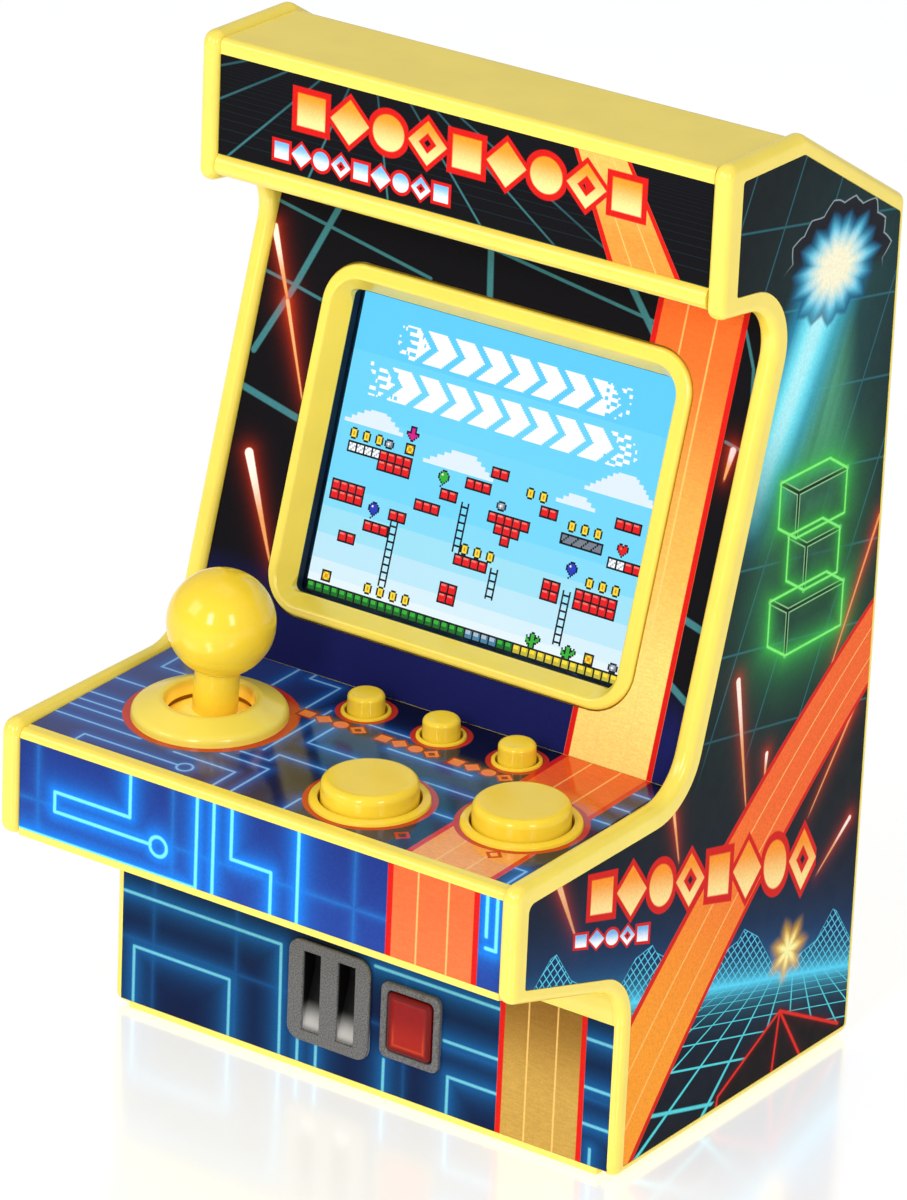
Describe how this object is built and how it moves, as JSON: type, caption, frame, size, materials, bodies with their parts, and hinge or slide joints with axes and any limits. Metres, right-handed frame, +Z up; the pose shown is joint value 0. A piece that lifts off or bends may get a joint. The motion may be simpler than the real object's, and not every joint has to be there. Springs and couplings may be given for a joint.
{
  "type": "bartop arcade cabinet",
  "caption": "Palm-size bartop arcade cabinet with beaded side panels, ball-top joystick, round push buttons, framed leaning screen, hooded marquee and coin-slot front.",
  "frame": {"origin": "middle of the footprint, on the surface that the rubber feet stand on", "axes": "+X to the player's right, +Y from the player towards the back, +Z up"},
  "size_m": [0.0914, 0.0922, 0.1504],
  "materials": {
    "shell_yellow": "glossy moulded ABS",
    "side_print": "printed gloss film",
    "marquee_print": "printed gloss insert",
    "deck_print": "printed gloss film",
    "apron_print": "printed insert",
    "front_print": "printed film",
    "screen_print": "printed gloss film",
    "gasket_black": "foam",
    "lens_clear": "clear acrylic lens",
    "display_face": "lit colour display",
    "coin_plate_grey": "speckled grey",
    "return_red": "glossy red",
    "joystick_yellow": "glossy moulded ABS",
    "button_yellow": "glossy moulded ABS",
    "foot_rubber": "matt",
    "battery_sleeve": "plain printed sleeve over a can",
    "contact_steel": "nickel plated",
    "screw_steel": "zinc plated",
    "board_green": "solder mask",
    "inner_black": "moulded",
    "silicone_grey": "silicone",
    "shaft_yellow": "glossy moulded ABS",
    "ribbon_grey": "flat cable sheath"
  },
  "bodies": {
    "cabinet": {"left_side_panel": "shell_yellow", "right_side_panel": "shell_yellow", "roof_shell": "shell_yellow", "control_deck": "shell_yellow", "lower_front_shell": "shell_yellow", "screen_panel": "shell_yellow", "screen_bezel": "shell_yellow", "base_plate": "shell_yellow", "back_cover": "shell_yellow", "left_side_sticker": "side_print", "right_side_sticker": "side_print", "marquee_panel": "marquee_print", "deck_overlay": "deck_print", "apron_panel": "apron_print", "lower_front_panel": "front_print", "screen_overlay": "screen_print", "display_gasket": "gasket_black", "display_window": "lens_clear", "lcd_module": "display_face", "coin_slot_plate": "coin_plate_grey", "coin_return_frame": "coin_plate_grey", "coin_return_button": "return_red", "rubber_feet": "foot_rubber", "battery_box": "inner_black", "battery_cells": "battery_sleeve", "battery_contacts": "contact_steel", "battery_springs": "contact_steel", "speaker": "inner_black", "power_switch": "inner_black", "case_screws": "screw_steel", "main_board": "board_green", "main_board_screws": "screw_steel", "control_board": "board_green", "control_board_screws": "screw_steel", "button_a_collar": "button_yellow", "button_b_collar": "button_yellow", "small_button_collars": "button_yellow", "button_a_dome": "silicone_grey", "button_b_dome": "silicone_grey", "reset_button_dome": "silicone_grey", "start_button_dome": "silicone_grey", "volume_button_dome": "silicone_grey", "joystick_ring": "joystick_yellow", "joystick_housing": "inner_black", "direction_switches": "inner_black", "ribbon_cable": "ribbon_grey"},
    "gimbal": {"gimbal_ring": "inner_black"},
    "stick": {"joystick_shaft": "shaft_yellow", "joystick_ball": "joystick_yellow", "dust_dome": "joystick_yellow", "centring_spring": "contact_steel"},
    "button_a": {"button_a_cap": "button_yellow"},
    "button_b": {"button_b_cap": "button_yellow"},
    "reset_button": {"reset_button_cap": "button_yellow"},
    "start_button": {"start_button_cap": "button_yellow"},
    "volume_button": {"volume_button_cap": "button_yellow"},
    "power_slider": {"power_switch_slider": "inner_black"},
    "battery_door": {"battery_door": "shell_yellow"}
  },
  "joints": [
    {"name": "joystick_fore_aft", "type": "hinge", "parent": "cabinet", "child": "gimbal", "pos_m": [-0.024, -0.02395, 0.04624], "axis": [1, 0, 0], "range_deg": [-8.5, 8.5], "stiffness_Nm_per_rad": 0.12},
    {"name": "joystick_left_right", "type": "hinge", "parent": "gimbal", "child": "stick", "pos_m": [-0.024, -0.02395, 0.04624], "axis": [0, 0.9993, 0.0379], "range_deg": [-13, 4], "stiffness_Nm_per_rad": 0.12},
    {"name": "button_a_press", "type": "slide", "parent": "cabinet", "child": "button_a", "axis": [0, 0.0379, -0.9993], "range_m": [0, 0.0014], "stiffness_N_per_m": 350, "deforming": ["button_a_dome"]},
    {"name": "button_b_press", "type": "slide", "parent": "cabinet", "child": "button_b", "axis": [0, 0.0379, -0.9993], "range_m": [0, 0.0014], "stiffness_N_per_m": 350, "deforming": ["button_b_dome"]},
    {"name": "reset_press", "type": "slide", "parent": "cabinet", "child": "reset_button", "axis": [0, 0.0379, -0.9993], "range_m": [0, 0.001], "stiffness_N_per_m": 300, "deforming": ["reset_button_dome"]},
    {"name": "start_press", "type": "slide", "parent": "cabinet", "child": "start_button", "axis": [0, 0.0379, -0.9993], "range_m": [0, 0.001], "stiffness_N_per_m": 300, "deforming": ["start_button_dome"]},
    {"name": "volume_press", "type": "slide", "parent": "cabinet", "child": "volume_button", "axis": [0, 0.0379, -0.9993], "range_m": [0, 0.001], "stiffness_N_per_m": 300, "deforming": ["volume_button_dome"]},
    {"name": "power_switch_slide", "type": "slide", "parent": "cabinet", "child": "power_slider", "axis": [1, 0, 0], "range_m": [0, 0.0024]},
    {"name": "battery_door_hinge", "type": "hinge", "parent": "cabinet", "child": "battery_door", "pos_m": [0, 0.0451, 0.0196], "axis": [-1, 0, 0], "range_deg": [0, 95]}
  ]
}
